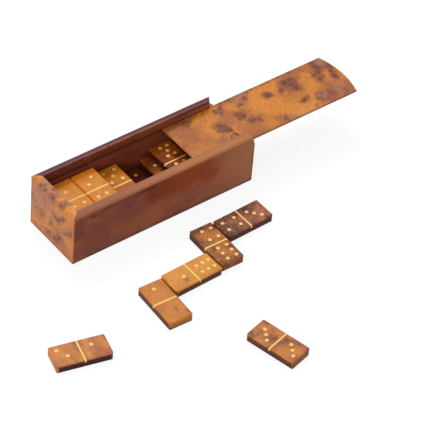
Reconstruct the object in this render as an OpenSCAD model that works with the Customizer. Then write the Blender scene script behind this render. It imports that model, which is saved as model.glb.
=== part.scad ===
// Domino storage box with a sliding lid and a set of inlaid wooden dominoes.
// The origin is the middle of the box's underside. +X runs along the box,
// from the closed end to the end where the lid slides out, and +Z is up.
// The lid is drawn slid well out, some tiles lie in the box and the rest on the table.

/* [Tiles] */
// Length of a tile
tile_length = 45; // [40:0.5:52]
// Width of a tile
tile_width = 21.8; // [20:0.1:25]
// Thickness of a tile
tile_thickness = 7.3; // [6:0.1:10]
// Rounding of a tile's edges
tile_edge_radius = 1.7; // [0.4:0.1:2]
// Rounding of a tile's four corners, seen from above
tile_corner_radius = 3.2; // [0.5:0.1:4]
// Diameter of an inlaid pip
pip_diameter = 3; // [2:0.1:3.2]
// Depth that a pip is let in
pip_depth = 1.2; // [0.8:0.1:2]
// Step from one pip of a six to the next, along the tile
pip_spacing_along = 5.8; // [4.5:0.1:6]
// Step from the middle of a half to its outer pips, across the tile
pip_spacing_across = 3.9; // [3.6:0.1:4.5]
// Width of the inlaid line between the two halves
divider_width = 1.4; // [0.8:0.1:2]
// Depth that the line is let in
divider_depth = 2.2; // [0.8:0.1:3]
// Glue line round the sides of an inlay
glue_line = 0.03; // [0.02:0.01:0.08]

/* [Room for the tiles] */
// Room beside a tile at each of its ends, in the box
tile_end_room = 0.5; // [0.4:0.1:1.5]
// Gap between one stack and the next
stack_gap = 0.25; // [0.1:0.05:1.5]
// Gap between the closed end and the first stack
first_stack_gap = 2.9; // [0.4:0.1:5]
// Gap between the last stack and the open end
last_stack_gap = 2.6; // [0.4:0.1:5]
// Room between the top layer of tiles and the lid
head_room = 3.5; // [1:0.1:6]
// How far the tile laid on top of two stacks reaches beyond the first one's edge
bridge_shift = 8.7; // [6:0.1:12]
// Turn of the tile laid on top of two stacks
bridge_angle = 0.8; // [0:0.1:1]

/* [Box] */
// Thickness of the base board
base_thickness = 7; // [4:0.5:12]
// Thickness of the two long sides
side_wall = 6; // [5.5:0.1:10]
// Thickness of the two ends
end_wall = 6.7; // [4:0.1:10]
// Height of the rails above the lid's groove
rail_height = 7.85; // [5.5:0.05:12]
// Rounding of the rails along their outer top edge
rail_radius = 3; // [1:0.25:5.25]
// Rounding of the box's long bottom edges
bottom_radius = 2.25; // [1:0.25:3.5]
// Rounding of the closed end's top edge
rim_radius = 3; // [0.5:0.1:4]
// Easing of the box's upright edges and of its short bottom edges
end_radius = 1; // [0.5:0.1:3]
// How far the rails stop short of the open end, at their inner face
rail_setback = 5.4; // [3:0.1:12]
// How much further out a rail reaches at its outer face
rail_slant = 4.4; // [0:0.1:6]
// Lean of a rail's end away from the open end
rail_lean = 11; // [0:0.5:20]

/* [Lid] */
// Thickness of the lid
lid_thickness = 1.8; // [1.6:0.1:4]
// Easing of the lid's edges
lid_edge_radius = 0.5; // [0.2:0.1:0.7]
// Width of lid that sits in each groove
lid_engagement = 1.4; // [1:0.1:2.5]
// Clearance round the lid's edge in its groove
lid_clearance = 0.15; // [0.1:0.05:0.4]
// Gap between the closed lid and the closed end
lid_stop_gap = 0.1; // [0.05:0.05:1]
// Length of the lid at its two corners
lid_length = 159.2; // [150:0.1:164]
// How far the middle of the lid's curved end stands out from its corners
lid_bow = 4.1; // [1:0.1:10]
// How far the lid is slid out from its closed place
lid_opening = 113.9; // [60:0.1:150]

/* [Tiles on the table] */
// Gap between tiles that are laid against each other
play_gap = 0.25; // [0.2:0.05:2]
// Where the run of four tiles crosses, from the middle of the box
run_x = 15; // [-40:0.5:60]
// Distance of that tile in front of the box's middle
run_y = -76; // [-120:0.5:-74]
// How far the run's third tile has slipped forwards
third_tile_slip = 3; // [0:0.5:8]
// How far the run's last tile has slipped forwards
fourth_tile_slip = 5.5; // [0:0.5:10]
// Where the tile at the left lies, along the box
left_tile_x = -136.6; // [-170:0.1:-125]
// Where the tile at the left lies, across the box
left_tile_y = -110.3; // [-150:0.1:-60]
// Turn of the tile at the left
left_tile_angle = -14.6; // [-40:0.1:40]
// Where the tile at the front lies, along the box
front_tile_x = -9.5; // [-60:0.5:60]
// Where the tile at the front lies, across the box
front_tile_y = -184; // [-230:0.5:-160]
// Turn of the tile at the front
front_tile_angle = -76.5; // [-120:0.5:-60]

/* [Hidden] */
$fn = 64;
margin = 1;

// Each stack is listed from the bottom up, each tile as [pips in front, pips at the back].
STACKS = [
    [[6, 6], [5, 5], [3, 0], [4, 1]],
    [[6, 5], [2, 0], [6, 3], [4, 2]],
    [[4, 4], [6, 2], [1, 5]],
    [[5, 2]],
    [[6, 0], [2, 3]],
    [[5, 0], [4, 0]],
    [[1, 1], [2, 2], [3, 1], [5, 3]],
];
BRIDGE_PIPS = [4, 5];
bridge_stack = 4;

// The tiles whose pips were drilled unevenly, each as [pips, first half, second half], and a
// half as its [shift along, shift across, stretch along, stretch across] in steps between pips.
UNEVEN = [
    [[4, 1], [-0.1, 0, 0.85, 1.15], [-0.2, 0.25, 1, 1]],
    [[4, 2], [-0.25, 0.3, 0.85, 1], [-0.15, 0.05, 0.55, 0.8]],
    [[1, 5], [0, 0, 1, 1], [0, -0.15, 1, 1.3]],
    [[5, 2], [0, 0, 1, 1], [0, 0, 0.6, 0.9]],
    [[2, 3], [0, 0, 0.6, 1], [0.4, 0.05, 0.7, 1]],
    [[4, 5], [0.25, -0.2, 0.95, 0.95], [0.1, -0.2, 0.9, 0.85]],
    [[4, 3], [0, 0.05, 1, 1.1], [-0.1, -0.2, 0.7, 1.15]],
    [[4, 6], [0, 0.55, 0.9, 1.05], [0, 0.5, 1.1, 1.05]],
    [[1, 6], [0.55, -0.1, 1, 1], [0.25, -0.15, 1, 1]],
    [[1, 0], [-0.6, -0.2, 1, 1], [0, 0, 1, 1]],
    [[2, 1], [-0.45, 0.4, 0.55, 0.95], [-0.3, 0.8, 1, 1]],
    [[3, 3], [0.1, -0.3, 0.7, 1], [0.4, -0.1, 0.7, 1.05]],
];
EVEN = [0, 0, 1, 1];

stack_count = len(STACKS);
tallest_stack = max([for (stack = STACKS) len(stack)]);

cavity_length = first_stack_gap + stack_count * tile_width
              + (stack_count - 1) * stack_gap + last_stack_gap;
cavity_width = tile_length + 2 * tile_end_room;
box_length = cavity_length + 2 * end_wall;
box_width = cavity_width + 2 * side_wall;
lid_underside = base_thickness + tallest_stack * tile_thickness + head_room;
groove_floor = lid_underside - lid_clearance;
groove_roof = lid_underside + lid_thickness + lid_clearance;
box_height = groove_roof + rail_height;

cavity_start = end_wall - box_length / 2;
cavity_end = box_length / 2 - end_wall;
lid_width = cavity_width + 2 * lid_engagement;
lid_inner_end = cavity_start + lid_stop_gap + lid_opening;
lid_corner = lid_inner_end + lid_length;

// Places of the tiles, each [pips, [x, y, z], angle] with the second half at +X for angle 0.
function stack_x(i) = cavity_start + first_stack_gap + tile_width / 2 + i * (tile_width + stack_gap);
function level_z(level) = base_thickness + level * tile_thickness;

STACKED = [
    for (i = [0 : stack_count - 1], level = [0 : len(STACKS[i]) - 1])
        [STACKS[i][level], [stack_x(i), 0, level_z(level)], 90]
];
BRIDGE = [
    BRIDGE_PIPS,
    [stack_x(bridge_stack) + bridge_shift, 0, level_z(len(STACKS[bridge_stack]))],
    90 + bridge_angle
];

// Half of the room that a turned tile takes up along X.
function half_reach(angle) = abs(tile_length / 2 * cos(angle)) + abs(tile_width / 2 * sin(angle));
function beside(x, angle, side, next_angle) =
    x + side * (half_reach(angle) + play_gap + half_reach(next_angle));

// The run of four tiles: a crosswise tile, its two neighbours and a second crosswise tile.
crossing_angle = -91.4;
lengthwise_angle = 1.4;
last_crossing_angle = -92.9;
half_tile = tile_length / 4;
right_x = beside(run_x, crossing_angle, 1, lengthwise_angle);
left_x = beside(run_x, crossing_angle, -1, lengthwise_angle);
last_x = beside(left_x, lengthwise_angle, -1, last_crossing_angle);
LOOSE = [
    [[4, 3], [right_x, run_y + half_tile, 0], lengthwise_angle],
    [[4, 6], [run_x, run_y, 0], crossing_angle],
    [[1, 6], [left_x, run_y - half_tile - third_tile_slip, 0], lengthwise_angle],
    [[1, 0], [last_x, run_y - 2 * half_tile - fourth_tile_slip, 0], last_crossing_angle],
    [[2, 1], [left_tile_x, left_tile_y, 0], left_tile_angle],
    [[3, 3], [front_tile_x, front_tile_y, 0], front_tile_angle],
];

TILES = concat(STACKED, [BRIDGE], LOOSE);

function pair_name(prefix, pips) = str(prefix, max(pips), "_", min(pips));
function tile_name(tile) = pair_name("tile_", tile[0]);
function inlay_name(tile) = pair_name("inlay_", tile[0]);

// ---------- shared shapes ----------

// Rectangle about the origin with its lower and upper corners rounded.
module eased_rectangle(x, y, low_radius, high_radius) {
    difference() {
        square([x, y], center = true);
        for (side = [-1, 1]) {
            corner_waste(side * x / 2, -y / 2, low_radius);
            corner_waste(side * x / 2, y / 2, high_radius);
        }
    }
}

// What rounding takes off the corner at (x, y) of a shape about the origin.
module corner_waste(x, y, radius) {
    translate([x - sign(x) * radius, y - sign(y) * radius])
        difference() {
            translate([sign(x) * (radius + margin) / 2, sign(y) * (radius + margin) / 2])
                square(radius + margin, center = true);
            circle(radius);
        }
}

// Lays a profile drawn in Y and Z along X.
module along_x(length) {
    translate([-length / 2, 0, 0])
        rotate([90, 0, 90])
            linear_extrude(length) children();
}

// Lays a profile drawn in X and Z along Y.
module along_y(width) {
    translate([0, width / 2, 0])
        rotate([90, 0, 0])
            linear_extrude(width) children();
}

// ---------- box ----------

// Outer shape of the whole box, from which each board is cut.
module box_envelope() {
    intersection() {
        along_x(box_length)
            translate([0, box_height / 2])
                eased_rectangle(box_width, box_height, bottom_radius, rail_radius);
        along_y(box_width)
            translate([0, box_height / 2])
                eased_rectangle(box_length, box_height, end_radius, rim_radius);
        linear_extrude(box_height)
            eased_rectangle(box_length, box_width, end_radius, end_radius);
    }
}

// Outline of a long side, mitred at the closed end; side is -1 in front and 1 at the back.
module side_outline(side) {
    polygon([
        [-box_length / 2, side * box_width / 2],
        [cavity_start, side * cavity_width / 2],
        [box_length / 2, side * cavity_width / 2],
        [box_length / 2, side * box_width / 2]
    ]);
}

module lid_groove(side) {
    groove_depth = lid_engagement + lid_clearance;
    translate([cavity_start, side * cavity_width / 2 - groove_depth, groove_floor])
        cube([box_length, 2 * groove_depth, groove_roof - groove_floor]);
}

// What is cut away above the groove's floor at the open end, past the rails' slanted ends.
module rail_step() {
    outer = rail_slant * (side_wall + margin) / side_wall;
    intersection() {
        translate([0, -box_width, groove_floor])
            cube([box_length, 2 * box_width, box_height]);
        translate([box_length / 2 - rail_setback, 0, groove_floor])
            rotate([0, -rail_lean, 0])
                translate([0, 0, -box_height])
                    linear_extrude(3 * box_height)
                        polygon([
                            [outer, -box_width / 2 - margin],
                            [0, -cavity_width / 2],
                            [0, cavity_width / 2],
                            [outer, box_width / 2 + margin],
                            [box_length, box_width / 2 + margin],
                            [box_length, -box_width / 2 - margin]
                        ]);
    }
}

module long_side(side) {
    difference() {
        intersection() {
            box_envelope();
            linear_extrude(box_height) side_outline(side);
        }
        lid_groove(side);
        rail_step();
    }
}

module front_side() {
    color("saddlebrown") long_side(-1);
}

module back_side() {
    color("saddlebrown") long_side(1);
}

module closed_end() {
    color("peru")
        intersection() {
            box_envelope();
            linear_extrude(box_height)
                polygon([
                    [-box_length / 2, -box_width / 2],
                    [cavity_start, -cavity_width / 2],
                    [cavity_start, cavity_width / 2],
                    [-box_length / 2, box_width / 2]
                ]);
        }
}

// The lid passes over this end, which stops level with the groove's floor.
module open_end() {
    color("peru")
        intersection() {
            box_envelope();
            translate([cavity_end, -cavity_width / 2, 0])
                cube([end_wall, cavity_width, groove_floor]);
        }
}

module base_board() {
    color("sienna")
        translate([cavity_start, -cavity_width / 2, 0])
            cube([cavity_length, cavity_width, base_thickness]);
}

// ---------- lid ----------

// Plate with a square inner end and a bowed outer end, which is its finger hold.
module sliding_lid() {
    bow_radius = (pow(lid_width / 2, 2) + pow(lid_bow, 2)) / (2 * lid_bow);
    color("peru")
        translate([0, 0, lid_underside + lid_thickness / 2])
            intersection() {
                translate([lid_inner_end + lid_length / 2 + lid_bow / 2, 0, 0])
                    lid_blank(lid_length + lid_bow);
                translate([lid_corner + lid_bow - bow_radius, 0, 0])
                    bowed_blank(bow_radius);
            }
}

// Plate about the origin with its long edges and its two ends eased.
module lid_blank(length) {
    intersection() {
        along_x(length)
            eased_rectangle(lid_width, lid_thickness, lid_edge_radius, lid_edge_radius);
        along_y(lid_width)
            eased_rectangle(length, lid_thickness, lid_edge_radius, lid_edge_radius);
    }
}

// Disc with an eased rim that bows the lid's outer end, carried on straight to the inner end.
module bowed_blank(radius) {
    rotate_extrude($fn = 256)
        intersection() {
            eased_rectangle(2 * radius, lid_thickness, lid_edge_radius, lid_edge_radius);
            translate([0, -lid_thickness])
                square([radius + margin, 2 * lid_thickness]);
        }
    translate([-2 * lid_length, -lid_width, -lid_thickness])
        cube([2 * lid_length, 2 * lid_width, 2 * lid_thickness]);
}

// ---------- dominoes ----------

// Places of a half's pips, as steps along and across the tile.
function pip_places(count) = concat(
    count % 2 == 1 ? [[0, 0]] : [],
    count >= 2 ? [[-1, 1], [1, -1]] : [],
    count >= 4 ? [[1, 1], [-1, -1]] : [],
    count == 6 ? [[0, 1], [0, -1]] : []
);

// Outer shape of a tile, lying on z = 0.
module tile_envelope() {
    intersection() {
        linear_extrude(tile_thickness)
            eased_rectangle(tile_length, tile_width, tile_corner_radius, tile_corner_radius);
        translate([0, 0, tile_thickness / 2])
            along_x(tile_length)
                eased_rectangle(tile_width, tile_thickness, tile_edge_radius, tile_edge_radius);
        translate([0, 0, tile_thickness / 2])
            along_y(tile_width)
                eased_rectangle(tile_length, tile_thickness, tile_edge_radius, tile_edge_radius);
    }
}

// How a tile's half was drilled.
function drilling(pair, half) =
    let (found = [for (tile = UNEVEN) if (tile[0] == pair) tile[1 + half]])
    len(found) > 0 ? found[0] : EVEN;

// The pips of both halves, as plugs down from the top face that reach "above" over it.
module pips(pair, radius, above) {
    for (half = [0, 1], place = pip_places(pair[half])) {
        drilled = drilling(pair, half);
        translate([
            (half - 0.5) * tile_length / 2 + (drilled[0] + place[0] * drilled[2]) * pip_spacing_along,
            (drilled[1] + place[1] * drilled[3]) * pip_spacing_across,
            tile_thickness - pip_depth
        ])
            cylinder(h = pip_depth + above, r = radius, $fn = 32);
    }
}

// The bar of the line between the halves, right across the tile.
module divider_bar(width, above) {
    translate([-width / 2, -tile_width, tile_thickness - divider_depth])
        cube([width, 2 * tile_width, divider_depth + above]);
}

module placed(tile) {
    translate(tile[1])
        rotate(tile[2])
            children();
}

module tile_wood(tile) {
    color("chocolate")
        placed(tile)
            difference() {
                tile_envelope();
                pips(tile[0], pip_diameter / 2 + glue_line, margin);
                divider_bar(divider_width + 2 * glue_line, margin);
            }
}

module tile_inlay(tile) {
    color("khaki")
        placed(tile) {
            pips(tile[0], pip_diameter / 2, 0);
            intersection() {
                tile_envelope();
                divider_bar(divider_width, 0);
            }
        }
}

// ---------- what is drawn ----------

base_board();
front_side();
back_side();
closed_end();
open_end();
sliding_lid();
for (tile = TILES) {
    tile_wood(tile);
    tile_inlay(tile);
}
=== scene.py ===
"""Woods, inlays, studio and camera for a domino box with a sliding lid and its tiles."""

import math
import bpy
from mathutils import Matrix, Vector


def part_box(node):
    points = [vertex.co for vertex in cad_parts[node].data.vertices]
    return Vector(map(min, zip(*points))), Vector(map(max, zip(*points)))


bl_info = {
    "name": "Domino Box Finishes",
    "version": (1, 0, 0),
    "blender": (4, 5, 0),
    "location": "3D View > Sidebar > Domino Box",
    "description": "Burl and straight-grained woods, pale inlays, a studio and a camera for a domino box",
    "category": "Object",
}

import bpy
from bpy.props import FloatProperty, FloatVectorProperty, PointerProperty
from mathutils import Euler, Vector

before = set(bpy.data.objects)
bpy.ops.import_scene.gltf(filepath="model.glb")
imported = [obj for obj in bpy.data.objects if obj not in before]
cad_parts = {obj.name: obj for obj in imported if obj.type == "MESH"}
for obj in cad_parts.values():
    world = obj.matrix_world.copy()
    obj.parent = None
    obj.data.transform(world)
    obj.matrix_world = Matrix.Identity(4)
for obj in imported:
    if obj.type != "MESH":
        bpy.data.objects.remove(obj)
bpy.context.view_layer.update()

MM = 0.001


def srgb(red, green, blue):
    """A colour written as 0 to 255 screen values, as the linear values that shaders use."""
    def linear(value):
        value /= 255
        return value / 12.92 if value <= 0.04045 else ((value + 0.055) / 1.055) ** 2.4
    return (linear(red), linear(green), linear(blue))


# ---------- where the figure of each board lies, in millimetres ----------

X, Y, Z = range(3)


def knots(axis, level, marks):
    """Knots on the face that lies at that level of the axis.

    A mark is the knot's place on the face, the radius of its eye and the reach of the smoky wood
    round it.
    """
    return [(*mark[:axis], level, *mark[axis:]) for mark in marks]


def patches(axis, level, marks):
    """Patches of other wood on a face: a mark is the patch's place on the face and its reach."""
    return knots(axis, level, [(*mark[:2], 0, mark[2]) for mark in marks])


LID_FACE, END_FACE, FRONT_FACE = (Z, 41), (X, -86.5), (Y, -29)
END_TOP, LOOSE_TOP, LOOSE_FOOT = (Z, 49.5), (Z, 7), (Z, 0)

LID_KNOTS = knots(*LID_FACE, [
    (81, 18.5, 1.7, 4), (86.5, 19, 1.8, 4.4), (84.5, 14.4, 1.6, 3.6), (103, 21.5, 1, 5.5),
    (103.5, 13.2, 1.2, 3.6), (110, 18, 0, 5), (128.8, 10.2, 1.8, 6), (131.6, 9, 1.1, 3.5),
    (142.4, 8.4, 1.6, 4.4), (149, 14.4, 1.7, 6), (152.2, 9.6, 1.6, 8), (154.2, 4, 2.2, 8),
    (156, 15, 0, 7), (176.4, 9.4, 1.4, 5), (181, 10.6, 1.3, 5.5), (184, 16.2, 1.9, 6.5),
    (180.6, 4.6, 1.7, 4.5), (176.6, 3.4, 1.3, 4), (190.6, 5.4, 1.6, 5), (190, -1, 2.2, 5.5),
    (188, 21.5, 0, 9), (193.5, 13.5, 0, 8), (149, -10.6, 1.6, 4.5), (152.6, -9.2, 0.9, 4),
    (156.5, -7, 0, 3.5), (163.2, -16, 1.5, 4.5), (166.8, -12.2, 1.3, 4), (169.5, -17, 0, 8),
    (177, -15.5, 0, 6), (184, -19, 0, 6), (155, -21, 1.4, 3), (124.5, -19.5, 0.6, 5),
    (75.2, 0.8, 1.2, 7.5), (72.5, -3.5, 0, 7), (77.6, -6.6, 2, 5.5), (79.5, -13.6, 1.5, 3.8),
    (74, -14, 0.9, 3.5), (65.8, -13, 0, 6), (95.8, 5.2, 1.4, 5.5), (97.6, 0.6, 1.9, 6.5),
    (92.6, -2, 0.9, 2.5), (100, -8, 1.8, 5), (103.5, -11, 0, 4), (54, 18, 0, 7),
# The row of patches along the lid's far edge is painted shade.
]) + patches(*LID_FACE, [(x, 25, 4) for x in range(48, 196, 6)])
# Golden patches of the lid; those at (77, 22), (75, 21), (66, 21) and (84, 22) are painted light that
# lightens the far rail's shadow.
LID_GLOW = patches(*LID_FACE, [
    (66, 12, 13), (77, 22, 5), (93, -6, 8), (110, -18, 11), (117, 4, 12), (129, 1, 14), (138, -16, 12),
    (150, -18, 9), (169, 11, 9), (166, 1, 7), (136, 17, 8), (75, 21, 7), (66, 21, 5), (84, 22, 4),
])
LID_HAZE = patches(*LID_FACE, [
    (140, -21, 6), (152, -22, 6), (128, -21, 4), (66, -14, 6), (168, -15, 6), (180, -16, 7),
    (188, -9, 6), (190, 20, 6), (104, 21, 4), (84, 17, 3),
])
# Painted shade: the deep amber of the lid's wood in the far rail's shadow.
LID_SHADE_AMBER = patches(*LID_FACE, [(76, 22, 5), (68, 22.5, 4), (83, 22.5, 3)])
LID_BROWN = patches(*LID_FACE, [
    (50, 4, 12), (58, -10, 9), (108, 12, 12), (110, -7, 12), (147, -4, 11), (186, -10, 15),
    (193, 4, 10), (163, 17, 9), (118, -14, 6),
])

END_KNOTS = knots(*END_FACE, [
    (-24.5, 28.5, 1.8, 5), (-21, 26, 1.2, 5), (-18, 24, 1.5, 4.5), (-15, 37.6, 1.3, 4),
    (-12, 34.5, 0.7, 3.5), (-9, 31.5, 1.6, 4), (-4.2, 31, 1.3, 4.5), (-0.8, 32, 1, 3.5),
    (-10.5, 47.6, 1.6, 4.5), (0.8, 48, 1.4, 5), (1.6, 43.5, 0, 3.5), (10.6, 47.6, 1.7, 4.5),
    (13.2, 45.6, 1.4, 5), (16.8, 47.8, 1.4, 4.5), (18, 43, 0, 6), (1, 22.5, 1.6, 4.5),
    (2.6, 18.5, 1.2, 4), (-11.2, 15.4, 1.5, 5), (-8.6, 12, 1.5, 5), (-5, 8.8, 1.4, 4.5),
    (5.3, 8, 1.5, 4.5), (10, 9, 0, 3.5), (19.5, 23, 1.2, 4), (15, 20.4, 0.9, 3.5), (12.8, 24.5, 1, 4),
    (22.5, 28, 0.9, 3), (10, 37, 0, 4.5),
]) + knots(*END_TOP, [
    (-81.8, 6.2, 1.4, 3.5), (-83, -12.5, 1.7, 4.5), (-84, 14, 1.3, 4),
# The rows along the closed end's foot and its back edge are painted shade.
]) + patches(*END_FACE, [
    *((y, 0, 4) for y in range(-28, 30, 6)),
    *((29.5, z, 4) for z in range(3, 50, 4)),
])
END_BROWN = patches(*END_FACE, [(-2, 42, 7), (-16, 8, 8), (8, 5, 7)])
END_HAZE = patches(*END_FACE, [
    (16, 33, 12), (22, 22, 8), (14, 44, 9), (0, 38, 7), (24, 40, 8), (1, 22, 5), (-20, 25, 5),
    (8, 20, 5),
])
END_GLOW = patches(*END_FACE, [
    (-24, 44, 7), (-8, 40, 6), (-18, 34, 4), (5, 27, 6), (1.5, 13.5, 4), (9, 16, 7), (22, 9, 6),
    (-6, 23, 6), (-25, 13, 7), (-12, 5, 5),
])
OPEN_END_KNOTS = knots(X, 86.5, [(4, 22, 2, 7)])

# Amber flame of the front side, and painted shade in its top-left corner and along its edges.
FLAME = patches(*FRONT_FACE, [
    (-15, 42, 8), (-10, 35, 11), (-2, 40, 12), (5, 33, 11), (13, 38, 12), (22, 42, 10), (22, 33, 10),
    (31, 38, 10), (33, 30, 7), (39, 40, 8), (41, 30, 7), (47, 29, 6), (-69, 42, 4),
])
FRONT_PAINTED_SHADE = patches(*FRONT_FACE, [
    (-83, 38, 9), (-82, 30, 7), (-37, 38, 7),
    *((x, 44, 4) for x in range(-85, -10, 4)),
    *((x, -1, 6) for x in range(-85, 86, 6)),
    *((87, z, 4) for z in range(2, 44, 5)),
])

# Smoky and golden patches of some tiles; the ones marked below are painted shade and light.
TILE_SMOKE = {
    "tile_4_3": patches(*LOOSE_TOP, [
        (31, -75, 9), (28, -57, 6), (36, -57, 5), (40, -72, 7), (47, -57, 5), (29, -66, 5),
        (35, -66, 4), (55, -59, 5), (66, -74, 4), (50, -77, 4),
    ]),
    "tile_6_4": knots(*LOOSE_TOP, [
        (7, -56, 0, 6), (15, -55, 0, 4), (25, -57, 0, 5), (5, -66, 0, 4), (23, -84, 0.7, 5),
        (7, -98, 0, 6), (25, -97, 0, 4), (11, -80, 0, 4),
    ]),
    "tile_3_3": knots(*LOOSE_TOP, [
        (-4, -163, 0.8, 6), (-22, -168, 0, 5), (-13, -179, 0, 5), (-4, -188, 0.8, 6),
        (3, -194, 0, 5), (0, -180, 0, 4),
    ]) + patches(Z, 6, [
        (-22, -163, 4), (-14, -161, 4),
    ]) + patches(*LOOSE_TOP, [
        (5, -202, 4), (-11, -186, 4),
    # The patches along the foot of its near long side are painted shade.
    ]) + patches(Z, 2, [
        (-16, -209, 7), (-9, -207, 7), (-2, -205.5, 7), (4, -203, 5),
    ]),
    "tile_1_0": patches(*LOOSE_TOP, [
        (-51, -114, 3), (-57, -86, 2), (-44, -122, 4),
    # The row along its foot is painted shade.
    ]) + patches(*LOOSE_FOOT, [(x, -127, 5) for x in range(-66, -42, 5)]),
    # Painted shade that the lid casts on the bridging tile.
    "tile_5_4": patches(Z, 37, [(35, 14, 7), (36, 3, 7), (36, -9, 7), (27, 19, 5), (30, -5, 4)]),
    "tile_6_1": patches(*LOOSE_TOP, [(-27, -95, 3), (-41, -84, 3)]),
    "tile_5_1": patches(Z, 29, [(-31, 6, 5)]),
}
TILE_GLOW = {
    "tile_6_4": patches(*LOOSE_TOP, [(18, -63, 8), (22, -69, 6), (14, -89, 6)]),
    "tile_4_3": patches(*LOOSE_TOP, [(61, -73, 7), (46, -63, 3), (41, -68, 3), (64, -62, 5)]),
    "tile_3_3": patches(*LOOSE_TOP, [(-15, -195, 7), (-6, -201, 7), (-11, -168, 6), (-5, -176, 4)]),
    "tile_2_1": patches(*LOOSE_TOP, [(-131, -109, 5), (-133, -116, 5), (-129, -103, 4)]),
    # Painted light on the bridging tile's end away from the lid.
    "tile_5_4": patches(Z, 37, [(17, -12, 6), (20, -19, 6), (18, 0, 5), (20, 10, 5)]),
    "tile_6_1": patches(*LOOSE_TOP, [(-8, -90, 10)]),
    # Painted light on the near part of tile 5_1, outside the far rail's shadow.
    "tile_5_1": patches(Z, 29, [(-27, -14, 12), (-37, -10, 8)]),
    "tile_3_2": patches(Z, 22, [(10, -17, 6)]),
}

# ---------- woods of the tiles ----------

# Dark wood of most tiles, and of the dark mottled ones.
BROWN, DUSKY = (106, 60, 52), (64, 32, 34)
# Wood of each tile that can be seen: the light, main and dark wood of its figure, how much of it is
# burl, how mottled it is, how many eyes it has, how strongly its long sides are stained and its foot
# darkened as painted shade, and the seed of its own cut. The very dark woods of tiles 5_2, 3_2, 5_4
# and 6_0, in the shade of the well and the lid, are partly painted shade.
TILE_WOODS = {
    "tile_4_1": ((238, 156, 58), (216, 132, 48), BROWN, 0.25, 0.2, 0.00, 0.1, 3),
    "tile_4_2": ((228, 148, 54), (202, 124, 44), BROWN, 0.30, 0.2, 0.00, 0.1, 8),
    "tile_5_1": ((226, 140, 40), (176, 88, 6), BROWN, 0.45, 0.5, 0.00, 0.9, 5),
    "tile_5_2": ((122, 54, 18), (88, 36, 16), DUSKY, 0.40, 0.4, 0.00, 0.9, 6),
    "tile_3_2": ((176, 92, 14), (100, 42, 6), DUSKY, 0.40, 0.4, 0.00, 0.9, 9),
    "tile_5_4": ((184, 92, 14), (106, 42, 6), DUSKY, 0.60, 0.5, 0.00, 0.9, 2),
    "tile_6_0": ((100, 46, 22), (78, 34, 18), DUSKY, 0.40, 0.4, 0.00, 0.9, 13),
    "tile_4_0": ((176, 96, 34), (130, 60, 20), BROWN, 0.35, 0.4, 0.10, 0.9, 11),
    "tile_4_3": ((180, 114, 78), (118, 68, 54), DUSKY, 0.70, 0.7, 0.15, 0.9, 4),
    "tile_6_4": ((192, 120, 56), (134, 80, 56), DUSKY, 0.60, 0.6, 0.10, 0.9, 7),
    "tile_6_1": ((224, 152, 64), (200, 128, 58), BROWN, 0.25, 0.3, 0.00, 0.9, 12),
    "tile_1_0": ((210, 132, 58), (176, 104, 50), BROWN, 0.40, 0.3, 0.00, 0.9, 14),
    "tile_2_1": ((214, 136, 66), (154, 90, 60), BROWN, 0.20, 0.2, 0.00, 1.0, 16),
    "tile_3_3": ((204, 128, 70), (148, 90, 66), BROWN, 0.50, 0.6, 0.08, 0.85, 19),
}
# Woods of the tiles that lie under the lid and lower in the stacks, and the seed of the first one.
OTHER_WOODS = [
    ((204, 130, 56), (176, 104, 44), BROWN, 0.3, 0.3, 0.0, 0.9),
    ((176, 104, 48), (124, 68, 38), DUSKY, 0.6, 0.7, 0.4, 0.9),
    ((214, 140, 58), (184, 112, 46), BROWN, 0.2, 0.2, 0.0, 0.8),
    ((188, 114, 50), (140, 80, 44), BROWN, 0.5, 0.5, 0.2, 0.9),
]
OTHER_SEED = 20
# Where a tile's amber band of painted shade begins and is full, across the box, and how pale it is.
TILE_SHADE_AMBER = {
    "tile_4_1": ((12, 16), 1.0),
    "tile_4_2": ((12, 16), 1.0),
    "tile_5_1": ((-2, 7), 0.68),
}

# ---------- where the shades of the sides and tiles change, in millimetres ----------

# Each pair is the place where a shade begins and the one where it is full.
# Along the box: the paler wood by the open end, the flame, the painted light of the front rail, the
# painted shade of the back side's wall over the groove, and the ends of the back rail's dark rim.
PALER_END, FLAME_SPAN = (25, 95), (-30, 30)
FRONT_RAIL_SPAN, BACK_WALL_SHADE_SPAN, RIM_ENDS = (-80, 40), (-60, 15), (22, 55)
# Across the box: the front rail's lip, towards which its top takes painted shade, the inner face of the
# back side, which takes painted shade, and its rail's dark rim.
FRONT_LIP_PAINTED_SHADE, INNER_FACE = (-25, -28.5), (25, 23.5)
RIM_BEGIN, RIM_END = (23.6, 25.0), (28.4, 27.4)
# Upwards: the rails' tops, painted light on the front one, the wall over the lid's groove and the
# groove's mouth, which take painted shade, and the box's foot, darkened as painted shade.
RAIL_TOP, RUBBED_TOP, OVER_GROOVE = (46, 47.5), (46, 48.5), (41, 42.5)
MOUTH_TOP, MOUTH_FOOT, BOX_FOOT_SHADE = (43.2, 42.2), (39, 40), (3.5, 1.0)
# Upwards from a tile's middle: where its stain is rubbed, and its foot, darkened as painted shade.
RUBBED_STAIN, TILE_FOOT = (-3, 3), (-0.3, -3.0)

# ---------- how the woods are cut and finished, in metres and radians ----------

# What a burl's figure is made of.
FIGURE = ("Clouds", "Bands", "Fibres", "Mottling")
# How far apart in burl and in straight grain the tiles are cut for each step of their seeds, and
# how far each is turned.
BURL_STEP, GRAIN_STEP, TURN_STEP = (0.37, 0.21, 0.13), (0, 0.013, 0.005), 1.1
# How much finer the figure of the tiles' burl is than that of the boards.
TILE_FIGURE = 0.5
# How far the growth rings' middle lies from the middle of a board.
RINGS_AWAY = (0, 0.13, 0.05)
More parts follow.
